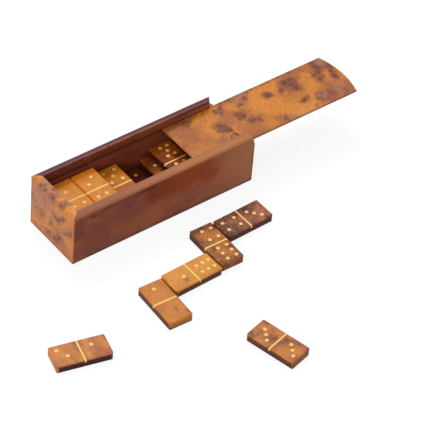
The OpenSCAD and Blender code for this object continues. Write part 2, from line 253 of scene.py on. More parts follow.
# How much the figure is drawn out along the grain.
RING_STRETCH, PORE_STRETCH, CLOUD_STRETCH = (0.09, 1.0, 1.0), (0.035, 1.0, 1.0), (0.5, 1.0, 1.0)
FIBRE_STRETCH, RIPPLE_STRETCH = (0.10, 1.0, 1.0), (1, 1, 0.12)
# Reflection of the lacquer, how strongly its ripple shows, and the strength of all relief.
LACQUER_GLOSS, RIPPLE_SHARE, RELIEF = 0.14, 0.3, 0.35
# How deep the relief is on boards of burl, on plain boards and tiles, and on inlays.
BURL_RELIEF, PLAIN_RELIEF, INLAY_RELIEF = 0.15 * MM, 0.12 * MM, 0.05 * MM
# Height of the rim of a tile's underside that shows how the tile lies.
TILE_RIM = 0.5 * MM

# ---------- studio and camera, in metres and degrees ----------

FLOOR_SIZE = 12
# The shade that the floor takes in the object's shadow, and the glow that makes the rest almost white.
FLOOR_SHADE, FLOOR_GLOW = (0.18, 0.18, 0.18), 0.86
LAMP_TARGET, LAMP_DISTANCE = Vector((0.02, -0.07, 0.0)), 1.5
# Direction of each lamp from its target, and its size.
KEY_LAMP = ((0.2, 0.54, 0.82), 0.6)
SIDE_LAMP = ((-0.86, -0.28, 0.42), 0.8)
CAMERA_PLACE = (-0.90589, -1.14374, 1.36959)
CAMERA_TURN = (46.4019, -3.7090, -37.2945)
CAMERA_SENSOR, CAMERA_REACH = 36, (0.05, 50)


def screen_colour(name, description, red, green, blue):
    """A colour setting, whose default is written as 0 to 255 screen values."""
    return FloatVectorProperty(
        name=name, description=description, subtype="COLOR", min=0, max=1,
        default=srgb(red, green, blue))


class WoodSettings(bpy.types.PropertyGroup):
    """Colours and figure of the woods."""

    light: screen_colour("Light Wood", "Palest wood of the burl", 210, 131, 54)
    middle: screen_colour("Middle Wood", "Main colour of the burl", 168, 100, 56)
    dark: screen_colour("Smoky Wood", "Cloudy wood round the knots", 104, 56, 50)
    end_light: screen_colour("End Light Wood", "Palest wood of the closed end's burl", 222, 142, 66)
    end_middle: screen_colour("End Middle Wood", "Main colour of the closed end's burl", 188, 116, 78)
    end_dark: screen_colour("End Smoky Wood", "Cloudy wood round the closed end's knots", 138, 88, 74)
    haze: screen_colour("Hazy Wood", "Pale pinkish wood in the burl", 204, 144, 112)
    # The knot colour also tints the painted shade of the front and back sides.
    eye: screen_colour("Knots", "Middle of a knot", 74, 36, 40)
    # The stain colour also darkens the foot of the boards and tiles, as painted shade.
    stain_and_foot_shade: screen_colour("Edge Stain", "Dark stain of the tiles' long sides", 42, 6, 25)
    stain_light: screen_colour("Rubbed Stain", "Edge stain where it is rubbed thin", 72, 28, 31)
    side: screen_colour("Side Wood", "Wood of the long sides", 168, 91, 54)
    side_dark: screen_colour("Side Shade", "Darker wood of the long sides", 134, 67, 49)
    side_light: screen_colour("Side Light", "Paler wood of the long sides at the open end", 186, 116, 78)
    side_amber: screen_colour("Side Flame", "Amber flame in the front side", 150, 62, 0)
    # Painted shade: the deep amber that the wood shows in the far rail's shadow, on tiles and the lid.
    painted_shade_amber: screen_colour("Amber Band", "Deep amber at some tiles' far ends", 242, 146, 24)
    # The two rail colours are painted light and sheen on the front rail's rounded top.
    rail_painted_light_dim: screen_colour("Rail", "Top of the front rail beside the closed end", 176, 112, 90)
    rail_painted_light: screen_colour("Rail Painted Light", "Top of the front rail beside the open end", 212, 140, 90)
    rim: screen_colour("Dark Rim", "Dark outer edge of the back rail", 80, 42, 60)
    # The groove colour is painted shade in the mouth of the lid's groove.
    groove: screen_colour("Groove", "Dark wood at the mouth of the lid's groove", 34, 8, 6)
    inlay: screen_colour("Inlay", "Pale wood of the pips and dividing lines", 255, 209, 118)
    inlay_dark: screen_colour("Inlay Grain", "Darker grain of the pale wood", 244, 184, 84)
    figure_size: FloatProperty(
        name="Figure Size", description="Size of the burl's swirls", subtype="DISTANCE", unit="LENGTH",
        min=0.005, max=0.2, default=42 * MM)
    ring_width: FloatProperty(
        name="Ring Width", description="Width of a growth ring in the straight-grained wood",
        subtype="DISTANCE", unit="LENGTH", min=0.0005, max=0.02, default=2.6 * MM)
    sheen: FloatProperty(
        name="Roughness", description="Roughness of the satin lacquer", subtype="FACTOR",
        min=0.05, max=1, default=0.46)


class StudioSettings(bpy.types.PropertyGroup):
    """Lamps, floor and camera."""

    key_power: FloatProperty(
        name="Key Lamp", description="Power of the soft lamp behind the box",
        unit="POWER", min=0, default=11.2)
    side_power: FloatProperty(
        name="Side Lamp", description="Power of the soft lamp beside the closed end",
        unit="POWER", min=0, default=9.8)
    fill_level: FloatProperty(
        name="Fill Level", description="Brightness of the soft light from all round",
        min=0, max=2, default=0.47)
    floor_colour: FloatVectorProperty(
        name="Floor", description="Colour of the pale floor", subtype="COLOR",
        min=0, max=1, default=(0.4, 0.4, 0.4))
    lens: FloatProperty(
        name="Lens", description="Focal length of the camera, in millimetres",
        unit="CAMERA", min=10, default=208.5)


# ---------- node trees ----------

class Bench:
    """A node tree, with short ways to add nodes that are already linked."""

    def __init__(self, tree):
        self.tree = tree

    def add(self, kind, inputs=None, **settings):
        node = self.tree.nodes.new("ShaderNode" + kind)
        for name, value in settings.items():
            setattr(node, name, value)
        for key, value in (inputs or {}).items():
            self.feed(node.inputs[key], value)
        return node

    def feed(self, socket, value):
        """Links an output to the socket, or sets the socket's own value."""
        if isinstance(value, bpy.types.NodeSocket):
            self.tree.links.new(value, socket)
        elif socket.type == "RGBA" and len(value) == 3:
            socket.default_value = (*value, 1)
        else:
            socket.default_value = value

    def maths(self, operation, *values, clamp=False):
        return self.add("Math", dict(enumerate(values)), operation=operation, use_clamp=clamp).outputs[0]

    def times(self, first, second):
        return self.maths("MULTIPLY", first, second)

    def plus(self, first, second):
        return self.maths("ADD", first, second)

    def minus(self, first, second, clamp=False):
        return self.maths("SUBTRACT", first, second, clamp=clamp)

    def most(self, first, second):
        return self.maths("MAXIMUM", first, second)

    def vector(self, operation, *values):
        node = self.add("VectorMath", dict(enumerate(values)), operation=operation)
        return node.outputs["Value" if operation in ("LENGTH", "DISTANCE", "DOT_PRODUCT") else "Vector"]

    def scaled(self, place, factor):
        node = self.add("VectorMath", {"Vector": place, "Scale": factor}, operation="SCALE")
        return node.outputs["Vector"]

    def stretched(self, place, factors):
        """The place, with its figure drawn out along the axes whose factor is under 1."""
        return self.vector("MULTIPLY", place, factors)

    def mix(self, factor, first, second):
        """Mixes two colours."""
        return self.add("Mix", {0: factor, 6: first, 7: second}, data_type="RGBA").outputs[2]

    def tinted(self, wood, colour, mask, strength):
        """The wood with a colour laid over it, at that strength where the mask is full."""
        return self.mix(self.times(mask, strength), wood, colour)

    def shaded(self, colour, strength):
        """A colour made lighter or darker."""
        grey = self.add("CombineColor", {0: strength, 1: strength, 2: strength}).outputs[0]
        return self.add(
            "Mix", {0: 1.0, 6: colour, 7: grey}, data_type="RGBA", blend_type="MULTIPLY").outputs[2]

    def blend(self, factor, first, second):
        """Mixes two numbers."""
        return self.add("Mix", {0: factor, 2: first, 3: second}, data_type="FLOAT").outputs[0]

    def spread(self, value, low, high, out_low=0.0, out_high=1.0):
        """A smooth step from out_low at low to out_high at high."""
        return self.add("MapRange", {
            "Value": value, "From Min": low, "From Max": high, "To Min": out_low, "To Max": out_high,
        }, interpolation_type="SMOOTHSTEP").outputs["Result"]

    def band(self, value, ends, out_low=0.0, out_high=1.0):
        """A smooth step between two places in millimetres."""
        return self.spread(value, ends[0] * MM, ends[1] * MM, out_low, out_high)

    def noise(self, place, scale, detail=2.0, roughness=0.5):
        return self.add(
            "TexNoise", {"Vector": place, "Scale": scale, "Detail": detail, "Roughness": roughness})

    def cloudy(self, place, scale, detail=2.0, roughness=0.5):
        """Noise as a number."""
        return self.noise(place, scale, detail, roughness).outputs["Fac"]

    def streaks(self, value, scale, detail=2.0, roughness=0.5):
        """Noise that changes with one number only, so it follows that number's contour lines."""
        return self.add("TexNoise", {
            "W": value, "Scale": scale, "Detail": detail, "Roughness": roughness,
        }, noise_dimensions="1D").outputs["Fac"]

    def warped(self, place, scale, amount, detail=2.0):
        """The place, pushed about by noise by up to about half of amount."""
        push = self.vector("SUBTRACT", self.noise(place, scale, detail).outputs["Color"], (0.5, 0.5, 0.5))
        return self.vector("ADD", place, self.scaled(push, amount))

    def along(self, place, axis):
        """How far the place lies along X, Y or Z."""
        return self.add("SeparateXYZ", {0: place}).outputs[axis]


def new_group(name, inputs, outputs):
    """An empty node group with those sockets, its Bench and the sockets of its two ends."""
    tree = bpy.data.node_groups.new(name, "ShaderNodeTree")
    for socket_name, kind, default in inputs:
        socket = tree.interface.new_socket(
            name=socket_name, in_out="INPUT", socket_type="NodeSocket" + kind)
        if default is not None:
            socket.default_value = default
    for socket_name, kind in outputs:
        tree.interface.new_socket(name=socket_name, in_out="OUTPUT", socket_type="NodeSocket" + kind)
    given = tree.nodes.new("NodeGroupInput").outputs
    result = tree.nodes.new("NodeGroupOutput").inputs
    return tree, Bench(tree), given, result


def shared(name, build):
    """The node group of that name, built the first time that it is asked for."""
    return bpy.data.node_groups.get(name) or build(name)


def build_edge_wear(name):
    """How near the surface is to an edge of its board, from the board's half sizes."""
    tree, bench, given, result = new_group(name, [
        ("Place", "Vector", None), ("Half Size", "Vector", (0.02, 0.01, 0.004)),
        ("Width", "Float", 0.0015), ("Raggedness", "Float", 0.5)], [("Wear", "Float")])
    room = bench.vector("SUBTRACT", given["Half Size"], bench.vector("ABSOLUTE", given["Place"]))
    axes = bench.add("SeparateXYZ", {0: room}).outputs
    pairs = [bench.most(axes[a], axes[b]) for a, b in ((X, Y), (Y, Z), (X, Z))]
    near = bench.maths("MINIMUM", bench.maths("MINIMUM", pairs[0], pairs[1]), pairs[2])
    ragged = bench.minus(bench.cloudy(given["Place"], scale=420, detail=3), 0.5)
    push = bench.times(bench.times(ragged, given["Raggedness"]), given["Width"])
    bench.feed(result["Wear"], bench.spread(bench.plus(near, push), low=given["Width"], high=0.0))
    return tree


def build_burl(name):
    """Swirling figure: cloudy light and dark wood, bands and fibres that bend with it, and mottling."""
    tree, bench, given, result = new_group(name, [
        ("Place", "Vector", None), ("Size", "Float", 0.04), ("Pull", "Float", 0.0)],
        [(kind, "Float") for kind in FIGURE])
    place, size = given["Place"], given["Size"]
    frequency = bench.maths("DIVIDE", 1.0, size)
    swirl = bench.warped(place, frequency, bench.times(size, 0.7))
    flow = bench.cloudy(swirl, bench.times(frequency, 0.8), detail=1.5, roughness=0.45)
    flow = bench.plus(flow, bench.times(given["Pull"], 0.12))
    elsewhere = bench.vector("ADD", swirl, (0.31, 0.17, 0.05))
    clouds = bench.cloudy(elsewhere, bench.times(frequency, 1.3), detail=3.0, roughness=0.55)
    bench.feed(result["Clouds"], bench.spread(clouds, low=0.34, high=0.64))
    bench.feed(result["Bands"], bench.streaks(flow, scale=22))
    bent = bench.vector("ADD", swirl, bench.scaled((0, 1, 0.6), bench.times(flow, 0.04)))
    turned = bench.add("Mapping", {"Vector": bent, "Rotation": (0, 0, -0.5)}).outputs[0]
    drawn = bench.stretched(turned, FIBRE_STRETCH)
    bench.feed(result["Fibres"], bench.cloudy(drawn, scale=560, detail=4.0, roughness=0.6))
    bench.feed(result["Mottling"], bench.cloudy(place, scale=520, detail=4.0, roughness=0.7))
    return tree


def build_eyes(name):
    """Loose clusters of small eyes."""
    tree, bench, given, result = new_group(name, [
        ("Place", "Vector", None), ("Amount", "Float", 0.5)], [("Eyes", "Float"), ("Smoke", "Float")])
    ragged = bench.warped(given["Place"], scale=220, amount=3 * MM)
    ragged = bench.warped(ragged, scale=700, amount=2 * MM)
    cells = bench.add("TexVoronoi", {"Vector": ragged, "Scale": 240})
    near = cells.outputs["Distance"]
    level = bench.blend(given["Amount"], 0.75, 0.42)
    cluster = bench.cloudy(given["Place"], scale=75)
    gate = bench.spread(cluster, low=level, high=bench.plus(level, 0.12))
    bench.feed(result["Eyes"], bench.times(bench.spread(near, low=0.42, high=0.12), gate))
    bench.feed(result["Smoke"], bench.times(bench.spread(near, low=0.95, high=0.15), gate))
    return tree


def build_straight_grain(name):
    """Growth rings, streaks, pores and clouds that run along X."""
    tree, bench, given, result = new_group(name, [
        ("Place", "Vector", None), ("Ring Width", "Float", 0.0026), ("Wander", "Float", 0.004)],
        [("Rings", "Float"), ("Streaks", "Float"), ("Pores", "Float"), ("Clouds", "Float")])
    place = given["Place"]
    wandering = bench.warped(bench.stretched(place, RING_STRETCH), scale=38, amount=given["Wander"])
    across = bench.stretched(bench.vector("ADD", wandering, RINGS_AWAY), (0, 1, 1))
    rings = bench.maths("DIVIDE", bench.vector("LENGTH", across), given["Ring Width"])
    bench.feed(result["Rings"], bench.streaks(rings, scale=0.5))
    bench.feed(result["Streaks"], bench.streaks(rings, scale=3.4, detail=4.0, roughness=0.65))
    pores = bench.cloudy(bench.stretched(place, PORE_STRETCH), scale=2600, detail=1.0)
    bench.feed(result["Pores"], bench.spread(pores, low=0.60, high=0.72))
    drifting = bench.warped(bench.stretched(place, CLOUD_STRETCH), scale=60, amount=12 * MM)
    clouds = bench.cloudy(drifting, scale=48, detail=3.0, roughness=0.55)
    bench.feed(result["Clouds"], bench.spread(clouds, low=0.32, high=0.66))
    return tree


def build_lacquer(name):
    """Uneven sheen and ripple of a hand-rubbed lacquer."""
    tree, bench, given, result = new_group(name, [
        ("Place", "Vector", None), ("Base", "Float", 0.4), ("Marks", "Float", 0.14)],
        [("Roughness", "Float"), ("Ripple", "Float")])
    rubbed = bench.minus(bench.cloudy(given["Place"], scale=70, detail=4.0, roughness=0.6), 0.5)
    bench.feed(result["Roughness"], bench.plus(given["Base"], bench.times(rubbed, given["Marks"])))
    bench.feed(result["Ripple"], bench.cloudy(given["Place"], scale=800))
    return tree


def build_burl_colour(name):
    """The colours of a burl from its figure."""
    tree, bench, given, result = new_group(name, [
        *((colour, "Color", None) for colour in ("Light", "Middle", "Dark", "Eye", "Edge")),
        *((kind, "Float", 0.5) for kind in FIGURE),
        ("Mottled", "Float", 0.3),
        *((mark, "Float", 0.0) for mark in ("Glow", "Smoke", "Eyes", "Wear"))],
        [("Color", "Color"), ("Height", "Float")])
    fibres, mottling = given["Fibres"], given["Mottling"]
    shade = bench.plus(bench.times(given["Clouds"], 0.6), bench.times(given["Bands"], 0.3))
    shade = bench.plus(shade, bench.times(fibres, 0.3))
    shade = bench.spread(shade, low=0.25, high=1.0)
    shade = bench.minus(shade, bench.times(given["Glow"], 0.45), clamp=True)
    wood = bench.mix(shade, given["Light"], given["Middle"])
    smoke = bench.times(given["Smoke"], bench.spread(mottling, 0.3, 0.6, out_low=0.65, out_high=1.0))
    wood = bench.mix(smoke, wood, given["Dark"])
    specks = bench.times(bench.spread(mottling, low=0.50, high=0.62), given["Mottled"])
    wood = bench.tinted(wood, given["Dark"], specks, strength=0.7)
    flecks = bench.times(bench.spread(mottling, low=0.46, high=0.36), given["Mottled"])
    wood = bench.tinted(wood, given["Light"], flecks, strength=0.6)
    wood = bench.tinted(wood, given["Eye"], given["Eyes"], strength=0.9)
    wood = bench.shaded(wood, bench.spread(fibres, 0.3, 0.7, out_low=1.06, out_high=0.90))
    bench.feed(result["Color"], bench.tinted(wood, given["Edge"], given["Wear"], strength=0.35))
    bench.feed(result["Height"], bench.minus(bench.times(fibres, 0.4), bench.times(given["Eyes"], 0.8)))
    return tree


def build_knots(name, marks):
    """Knots at chosen places: ragged eyes, the smoky wood round them and how they bend the figure."""
    tree, bench, given, result = new_group(
        name, [("Place", "Vector", None)], [("Eyes", "Float"), ("Smoke", "Float"), ("Pull", "Float")])
    ragged = bench.warped(given["Place"], scale=260, amount=4 * MM)
    ragged = bench.warped(ragged, scale=700, amount=3.2 * MM)
    drifting = bench.warped(given["Place"], scale=70, amount=12 * MM)
    drifting = bench.warped(drifting, scale=330, amount=5 * MM)
    eyes, pull, clear = 0.0, 0.0, 1.0
    for *place, eye, reach in marks:
        centre = [part * MM for part in place]
        if eye:
            away = bench.vector("DISTANCE", ragged, centre)
            eyes = bench.most(eyes, bench.band(away, (2 * eye, 0)))
            pull = bench.plus(pull, bench.band(away, (5 * eye, 0)))
        away = bench.vector("DISTANCE", drifting, centre)
        clear = bench.times(clear, bench.band(away, (0.1 * reach, 1.25 * reach)))
    bench.feed(result["Eyes"], eyes)
    bench.feed(result["Smoke"], bench.minus(1.0, clear))
    bench.feed(result["Pull"], pull)
    return tree


# ---------- materials ----------

def new_material(name):
    """A satin material: its Bench, its surface and the place on the piece."""
    material = bpy.data.materials.new(name)
    material.use_nodes = True
    bench = Bench(material.node_tree)
    surface = material.node_tree.nodes["Principled BSDF"]
    surface.inputs["Specular IOR Level"].default_value = LACQUER_GLOSS
    return material, bench, surface, bench.add("TexCoord").outputs["Object"]


def use(bench, name, build, inputs):
    """Places a shared node group in a material, and returns its outputs."""
    node = bench.tree.nodes.new("ShaderNodeGroup")
    node.node_tree = shared(name, build)
    for key, value in inputs.items():
        bench.feed(node.inputs[key], value)
    return node.outputs


def use_knots(bench, name, marks, place):
    """Knots at chosen places, from a node group of that name."""
    return use(bench, name, lambda group: build_knots(group, marks), {"Place": place})


def lacquered(bench, surface, place, height, depth, settings, marks=0.14):
    """Adds the lacquer's sheen, and the relief of the wood under it."""
    lacquer = use(bench, "Lacquer", build_lacquer, {
        "Place": place, "Base": settings.sheen, "Marks": marks})
    bench.feed(surface.inputs["Roughness"], lacquer["Roughness"])
    relief = bench.plus(height, bench.times(lacquer["Ripple"], RIPPLE_SHARE))
    bump = bench.add("Bump", {"Height": relief, "Strength": RELIEF, "Distance": depth})
    bench.feed(surface.inputs["Normal"], bump.outputs["Normal"])


def edge_wear(bench, place, half, width, raggedness):
    """How worn the surface is, near the edges of a board or tile with those half sizes."""
    return use(bench, "Edge Wear", build_edge_wear, {
        "Place": place, "Half Size": half, "Width": width, "Raggedness": raggedness})["Wear"]


def board_place(bench, place, node):
    """The place on a board, from the board's middle, and the board's half sizes."""
    low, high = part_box(node)
    return bench.vector("SUBTRACT", place, tuple((low + high) / 2)), tuple((high - low) / 2)


def burl_board(node, name, places, woods, settings, mottled, eye_amount, eye_depth=0.7, haze_depth=0.4):
    """Burl wood with its knots, and golden, brown, hazy and painted-shade amber patches, at chosen
    places.
    """
    material, bench, surface, place = new_material(name)
    centred, half = board_place(bench, place, node)
    knot, golden, browned, hazed, amber = (
        use_knots(bench, name + " " + kind, places.get(kind, []), place)
        for kind in ("Knots", "Glow", "Brown", "Haze", "Amber"))
    loose = use(bench, "Eyes", build_eyes, {"Place": place, "Amount": eye_amount})
    figure = use(bench, "Burl", build_burl, {
        "Place": place, "Size": settings.figure_size, "Pull": knot["Pull"]})
    veil = bench.times(hazed["Smoke"], haze_depth)
    smoke = bench.most(knot["Smoke"], bench.times(loose["Smoke"], 0.6))
    eyes = bench.most(knot["Eyes"], bench.times(loose["Eyes"], 0.6))
    light, middle, dark = (bench.mix(veil, wood, settings.haze) for wood in woods)
    wood = use(bench, "Burl Colour", build_burl_colour, {
        "Light": light, "Middle": middle, "Dark": dark, "Eye": settings.eye, "Edge": settings.dark,
        **{kind: figure[kind] for kind in FIGURE}, "Mottled": mottled,
        "Glow": bench.minus(golden["Smoke"], browned["Smoke"]),
        "Smoke": bench.times(smoke, 0.95), "Eyes": bench.times(eyes, eye_depth),
        "Wear": edge_wear(bench, centred, half, width=1.2 * MM, raggedness=0.8)})
    # Painted shade: the deep amber of the wood in the far rail's shadow, at the amber patches.
    colour = bench.tinted(wood["Color"], settings.painted_shade_amber, amber["Smoke"], strength=0.7)
    bench.feed(surface.inputs["Base Color"], colour)
    lacquered(bench, surface, place, wood["Height"], BURL_RELIEF, settings)
    return material


def side_wood(bench, place, along, grain, settings):
    """Plain wood of the sides, which grows paler towards the open end."""
    wavy = bench.stretched(bench.warped(place, scale=60, amount=12 * MM), RIPPLE_STRETCH)
    ripple = bench.cloudy(wavy, scale=160, detail=3)
    shade = bench.plus(bench.times(grain["Rings"], 0.15), bench.times(grain["Clouds"], 0.55))
    shade = bench.plus(shade, bench.times(ripple, 0.5))
    wood = bench.mix(bench.spread(shade, low=0.2, high=1.0), settings.side_dark, settings.side)
    return bench.mix(bench.band(along, PALER_END), wood, settings.side_light)


def front_side_shades(bench, wood, place, along, axes, settings):
    """Adds the front side's flame, painted shade in its corner and on its edges, and its rail's painted
    light.
    """
    amber = bench.shaded(settings.side_amber, bench.band(along, FLAME_SPAN, 0.6, 1.05))
    flame = use_knots(bench, "Flame", FLAME, place)["Smoke"]
    wood = bench.tinted(wood, amber, flame, strength=0.95)
    # Painted shade in the top-left corner, under the rail, and along the foot and the open-end edge.
    shadow = use_knots(bench, "Front Painted Shade", FRONT_PAINTED_SHADE, place)["Smoke"]
    wood = bench.tinted(wood, settings.eye, shadow, strength=0.5)
    # Painted light and sheen: the rail's top painted paler than the side, with painted shade towards its
    # inner lip.
    rail = bench.mix(bench.band(along, FRONT_RAIL_SPAN), settings.rail_painted_light_dim, settings.rail_painted_light)
    rail = bench.shaded(rail, bench.band(axes["Y"], FRONT_LIP_PAINTED_SHADE, 0.6, 1.0))
    return bench.tinted(wood, rail, bench.band(axes["Z"], RAIL_TOP), strength=0.85)


def back_side_shades(bench, wood, place, along, axes, settings):
    """Paints shade on the inner face and the groove's mouth, rubs the rail's top, and adds the dark rim.
    """
    # Painted shade on the inner face, deeper over the groove towards the closed end.
    inside = bench.band(axes["Y"], INNER_FACE)
    wood = bench.tinted(wood, settings.eye, inside, strength=0.35)
    wall = bench.times(inside, bench.band(axes["Z"], OVER_GROOVE))
    wood = bench.shaded(wood, bench.blend(wall, 1.0, bench.band(along, BACK_WALL_SHADE_SPAN, 0.55, 1.0)))
    mottled = bench.spread(bench.cloudy(place, scale=170, detail=4, roughness=0.65), low=0.46, high=0.58)
    rubbed = bench.times(bench.band(axes["Z"], RUBBED_TOP), bench.times(mottled, 0.6))
    wood = bench.mix(rubbed, wood, settings.middle)
    outer = bench.times(bench.band(axes["Y"], RIM_BEGIN, 0, 0.95), bench.band(axes["Y"], RIM_END))
    ends = bench.band(bench.maths("ABSOLUTE", along), RIM_ENDS, 0, 0.75)
    rim = bench.times(bench.band(axes["Z"], RAIL_TOP), bench.most(outer, ends))
    wood = bench.mix(rim, wood, settings.rim)
    # Painted shade in the mouth of the lid's groove.
    mouth = bench.times(bench.band(axes["Z"], MOUTH_TOP), bench.band(axes["Z"], MOUTH_FOOT))
    return bench.tinted(wood, settings.groove, bench.times(mouth, inside), strength=0.6)


def side_board(node, name, settings, shades):
    """Straight-grained wood of a long side or the base, with the shades of its own faces."""
    material, bench, surface, place = new_material(name)
    centred, half = board_place(bench, place, node)
    grain = use(bench, "Straight Grain", build_straight_grain, {
        "Place": centred, "Ring Width": settings.ring_width, "Wander": 5 * MM})
    along = bench.along(bench.warped(place, scale=30, amount=30 * MM), "X")
    axes = bench.add("SeparateXYZ", {0: place}).outputs
    wood = side_wood(bench, place, along, grain, settings)
    wood = shades(bench, wood, place, along, axes, settings)
    wood = bench.shaded(wood, bench.spread(grain["Streaks"], 0.3, 0.75, out_low=0.94, out_high=1.04))
    wood = bench.tinted(wood, settings.eye, grain["Pores"], strength=0.2)
    wear = edge_wear(bench, centred, half, width=1.4 * MM, raggedness=0.8)
    wood = bench.tinted(wood, settings.middle, wear, strength=0.25)
    # Painted shade darkens the board towards its foot.
    wood = bench.mix(bench.band(axes["Z"], BOX_FOOT_SHADE, 0, 0.6), wood, settings.stain_and_foot_shade)
    bench.feed(surface.inputs["Base Color"], wood)
    height = bench.minus(bench.times(grain["Streaks"], 0.5), grain["Pores"])
    lacquered(bench, surface, place, height, PLAIN_RELIEF, settings)
    return material


def lie_of(node):
    """Middle of a tile, and the turn of its long side, from the rim of its underside."""
    low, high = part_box(node)
    rim = [v.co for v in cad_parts[node].data.vertices if v.co.z < low.z + TILE_RIM]
    middle = sum(rim, Vector()) / len(rim)
    xx = sum((p.x - middle.x) ** 2 for p in rim)
    yy = sum((p.y - middle.y) ** 2 for p in rim)
    xy = sum((p.x - middle.x) * (p.y - middle.y) for p in rim)
    return (low + high) / 2, 0.5 * math.atan2(2 * xy, xx - yy)


def tile_half():
    """Half sizes of a tile, from one that lies across the box, with its length first."""
    low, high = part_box("tile_6_6")
    size = (high - low) / 2
    return (size.y, size.x, size.z)


def turned_place(bench, place, middle, angle):
    """The place as a tile sees it that lies round that middle, turned by that angle."""
    return bench.add("Mapping", {
        "Vector": place, "Location": middle, "Rotation": (0, 0, angle)}, vector_type="TEXTURE").outputs[0]


def tile_figure(bench, cut, burl, seed, settings):
    """A tile's own place in the burl, and its figure: straight grain and burl, blended."""
    own, own_grain = (
        bench.vector("ADD", cut, tuple(part * seed for part in step)) for step in (BURL_STEP, GRAIN_STEP))
    figure = use(bench, "Burl", build_burl, {
        "Place": own, "Size": TILE_FIGURE * settings.figure_size})
    grain = use(bench, "Straight Grain", build_straight_grain, {
        "Place": own_grain, "Ring Width": settings.ring_width, "Wander": 6 * MM})
    pairs = {"Clouds": "Clouds", "Bands": "Rings", "Fibres": "Streaks"}
    blended = {kind: bench.blend(burl, grain[straight], figure[kind]) for kind, straight in pairs.items()}
    return own, {**blended, "Mottling": figure["Mottling"]}


def tile_stain_and_foot_shade(bench, local, turn, stain_and_foot_shade, settings):
    """How stained a tile's long sides are, its foot darkened as painted shade, and the colour of both."""
    normal = bench.add("TexCoord").outputs["Normal"]
    across = (-math.sin(turn), math.cos(turn), 0)
    sideways = bench.maths("ABSOLUTE", bench.vector("DOT_PRODUCT", normal, across))
    stained = bench.times(bench.spread(sideways, low=0.82, high=0.98), stain_and_foot_shade)
    height_up = bench.along(bench.warped(local, scale=300, amount=4 * MM), "Z")
    stain_and_shade_colour = bench.mix(bench.band(height_up, RUBBED_STAIN), settings.stain_and_foot_shade, settings.stain_light)
    # Painted shade darkens the tile towards its foot.
    foot = bench.times(bench.band(height_up, TILE_FOOT, 0, 0.6), stain_and_foot_shade)
    return bench.most(stained, foot), stain_and_shade_colour


def tile_wood(node, light, main, dark, burl, mottled, eye_amount, stain_and_foot_shade, seed, settings):
    """One tile's wood: between plain and burl, cut at its own angle, with stained long sides."""
    material, bench, surface, place = new_material(node)
    middle, turn = lie_of(node)
    local = turned_place(bench, place, middle, turn)
    cut = turned_place(bench, place, middle, turn + TURN_STEP * seed)
    own, figure = tile_figure(bench, cut, burl, seed, settings)
    loose = use(bench, "Eyes", build_eyes, {"Place": own, "Amount": eye_amount})
    patched = use_knots(bench, node + " Patches", TILE_SMOKE.get(node, []), place)
    golden = use_knots(bench, node + " Glow", TILE_GLOW.get(node, []), place)
    colour, height = use(bench, "Burl Colour", build_burl_colour, {
        "Light": srgb(*light), "Middle": srgb(*main), "Dark": srgb(*dark),
        # Edges lightened towards the light wood: partly wear, partly painted light against the shade in
        # the gaps between touching tiles.
        "Eye": settings.eye, "Edge": srgb(*light),
        **figure, "Mottled": mottled, "Glow": golden["Smoke"],
        **{kind: bench.times(bench.most(loose[kind], patched[kind]), 0.8) for kind in ("Smoke", "Eyes")},
        "Wear": edge_wear(bench, local, tile_half(), width=1.1 * MM, raggedness=1.0)})
    # Painted shade: the deep amber of the wood in the far rail's shadow, over the tile's far part.
    if node in TILE_SHADE_AMBER:
        ends, paleness = TILE_SHADE_AMBER[node]
        band = bench.band(bench.along(bench.warped(place, scale=60, amount=3 * MM), "Y"), ends)
        colour = bench.tinted(colour, bench.shaded(settings.painted_shade_amber, paleness), band, strength=0.85)
    stained, stain_and_shade_colour = tile_stain_and_foot_shade(bench, local, turn, stain_and_foot_shade, settings)
    # The mask holds the stain of the long sides and the painted shade at the foot.
    bench.feed(surface.inputs["Base Color"], bench.mix(stained, colour, stain_and_shade_colour))
    lacquered(bench, surface, local, height, PLAIN_RELIEF, settings)
    return material


def inlay_wood(settings):
    """Pale close-grained wood of the pips and lines."""
    material, bench, surface, place = new_material("Inlay Wood")
    streaks = use(bench, "Straight Grain", build_straight_grain, {
        "Place": place, "Ring Width": 1.1 * MM, "Wander": 2 * MM})["Streaks"]
    bench.feed(surface.inputs["Base Color"], bench.mix(
        bench.times(streaks, 0.5), settings.inlay, settings.inlay_dark))
    lacquered(bench, surface, place, streaks, INLAY_RELIEF, settings, marks=0.1)
    return material


def dress(node, material):
    """Gives a piece its material."""
    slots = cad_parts[node].data.materials
    slots.clear()
    slots.append(material)


# ---------- studio ----------

def seen_directly(bench):
    """1 for what the camera, a reflection or a glass sees, 0 for what only lights the object."""
    path = bench.add("LightPath").outputs
    seen = bench.maths("ADD", path["Is Camera Ray"], path["Is Glossy Ray"])
    return bench.maths("ADD", seen, path["Is Transmission Ray"], clamp=True)


def floor_material(settings):
    """A matt floor that shows almost white, and keeps the object's shadow."""
    material = bpy.data.materials.new("Floor")
    material.use_nodes = True
    bench = Bench(material.node_tree)
    nodes = material.node_tree.nodes
    nodes.remove(nodes["Principled BSDF"])
    matt = bench.add("BsdfDiffuse", {"Color": settings.floor_colour}).outputs[0]
    shade = bench.add("BsdfDiffuse", {"Color": FLOOR_SHADE}).outputs[0]
    glow = bench.add("Emission", {"Color": (1, 1, 1), "Strength": FLOOR_GLOW}).outputs[0]
    shown = bench.add("AddShader", {0: shade, 1: glow}).outputs[0]
    floor = bench.add("MixShader", {0: seen_directly(bench), 1: matt, 2: shown}).outputs[0]
    bench.feed(nodes["Material Output"].inputs["Surface"], floor)
    return material


def add_floor(settings):
    """The pale floor that the box stands on."""
    bpy.ops.mesh.primitive_plane_add(size=FLOOR_SIZE, location=(0, 0, 0))
    floor = bpy.context.active_object
    floor.name = "floor"
    floor.data.materials.append(floor_material(settings))


